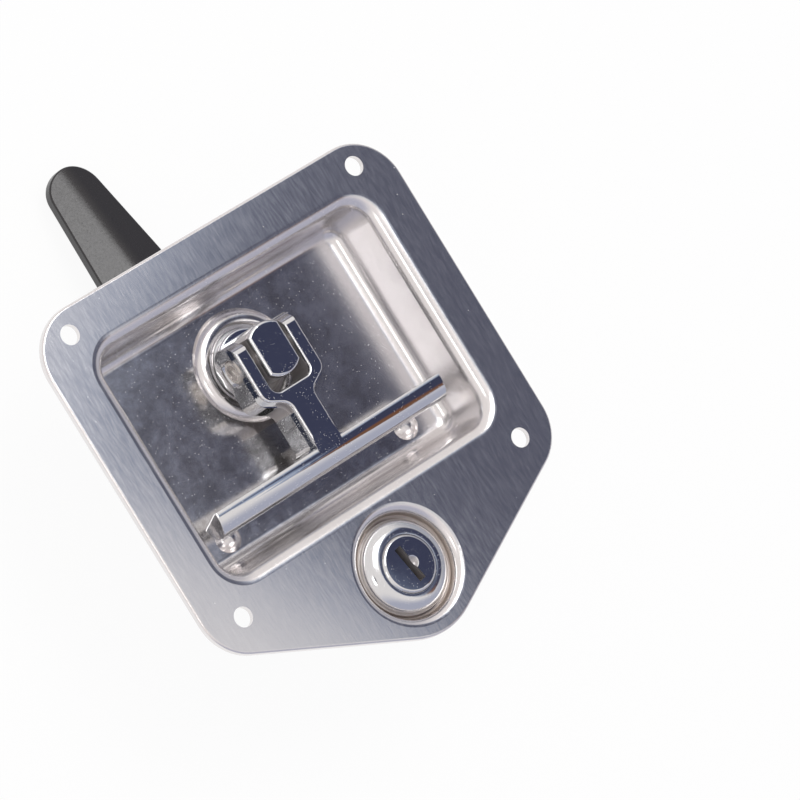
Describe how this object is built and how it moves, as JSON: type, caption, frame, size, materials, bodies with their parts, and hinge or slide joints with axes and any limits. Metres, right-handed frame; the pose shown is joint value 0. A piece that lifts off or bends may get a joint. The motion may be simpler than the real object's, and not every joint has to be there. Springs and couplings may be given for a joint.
{
  "type": "t-handle latch",
  "caption": "Flush-mounted folding T-handle latch in a recessed metal dish, with a key lock in its flange and a rear latch arm.",
  "frame": {"origin": "centre of the four mounting holes, on the rear face of the flange", "axes": "+Z out of the door towards the user, +X across the door, +Y from the key lock towards the latch arm"},
  "size_m": [0.112, 0.1427, 0.0493],
  "materials": {
    "brushed_stainless": "brushed along the length, bright rolled edge",
    "bright_chrome": "polished chrome plate",
    "zinc_casting": "satin plated casting",
    "zinc_plated_steel": "dull zinc plate",
    "spring_steel": "oiled spring steel",
    "steel_pin": "satin steel",
    "black_painted_steel": "semi-gloss black paint",
    "black_rubber": "matt black",
    "brass": "stamped brass"
  },
  "bodies": {
    "pan": {"dish": "brushed_stainless", "spindle_housing": "zinc_casting", "shaft_seal": "black_rubber", "lock_body": "bright_chrome", "lock_washer": "zinc_plated_steel", "lock_nut": "zinc_plated_steel"},
    "shaft": {"spindle": "bright_chrome", "shaft_spring": "spring_steel", "thrust_washer": "zinc_plated_steel", "retaining_clip": "spring_steel", "stop_plate": "zinc_plated_steel", "arm": "black_painted_steel", "arm_washer": "zinc_plated_steel", "arm_split_washer": "spring_steel", "arm_nut": "zinc_plated_steel"},
    "t_handle": {"handle": "bright_chrome", "hinge_pin": "steel_pin"},
    "plug": {"lock_plug": "bright_chrome", "lock_wafers": "brass", "lock_tail": "zinc_plated_steel", "tail_screw": "zinc_plated_steel"}
  },
  "joints": [
    {"name": "spindle_turn", "type": "hinge", "parent": "pan", "child": "shaft", "pos_m": [0, 0.0111, 0], "axis": [0, 0, -1], "range_deg": [0, 90]},
    {"name": "handle_fold", "type": "hinge", "parent": "shaft", "child": "t_handle", "pos_m": [0, 0.0111, -0.0048], "axis": [-1, 0, 0], "range_deg": [0, 110]},
    {"name": "lock_turn", "type": "hinge", "parent": "pan", "child": "plug", "pos_m": [0, -0.04927, 0], "axis": [0, 0, -1], "range_deg": [0, 90]}
  ],
  "couplings": [
    {"joint": "spindle_turn", "follows": "handle_fold", "ratio": 0.81818}
  ]
}
